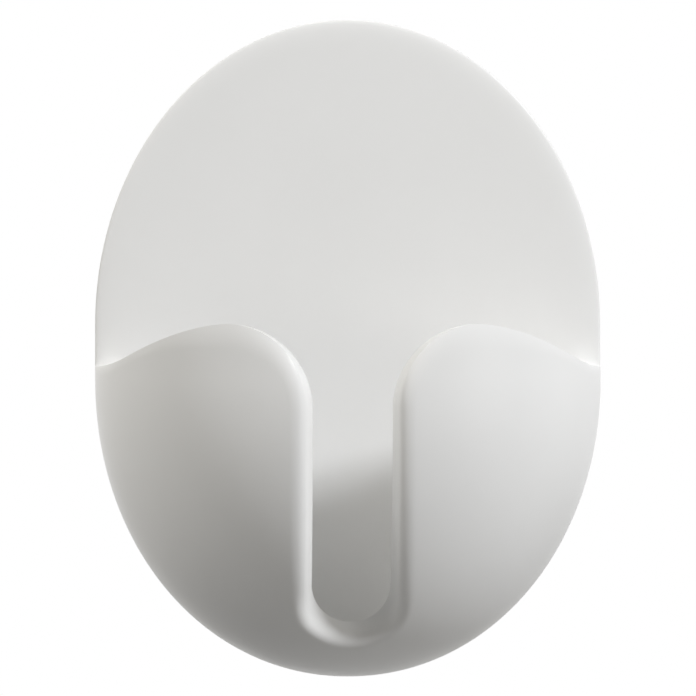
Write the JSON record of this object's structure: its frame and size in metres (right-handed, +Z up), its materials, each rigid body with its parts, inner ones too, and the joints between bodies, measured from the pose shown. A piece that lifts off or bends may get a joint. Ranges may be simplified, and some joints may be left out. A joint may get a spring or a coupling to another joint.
{
  "type": "adhesive cable clip",
  "caption": "Oval white self-adhesive clip with a domed, slotted pouch that holds a plug or cable, on a foam adhesive pad under a release liner.",
  "frame": {"origin": "middle of the rear face, where the clip meets the wall", "axes": "+X to the right seen from the front, +Y into the wall, +Z up; the pouch faces -Y"},
  "size_m": [0.0462, 0.0218, 0.06],
  "materials": {
    "body_plastic": "white moulded plastic, satin gloss",
    "adhesive": "tacky film, glossy",
    "foam": "white closed-cell foam",
    "liner_paper": "glazed release paper"
  },
  "bodies": {
    "clip": {"clip_body": "body_plastic", "front_adhesive": "adhesive", "foam_pad": "foam", "wall_adhesive": "adhesive"},
    "liner": {"release_liner": "liner_paper"}
  },
  "joints": [
    {"name": "liner_peel", "type": "slide", "parent": "clip", "child": "liner", "axis": [0, 1, 0], "range_m": [0, 0.03]}
  ]
}
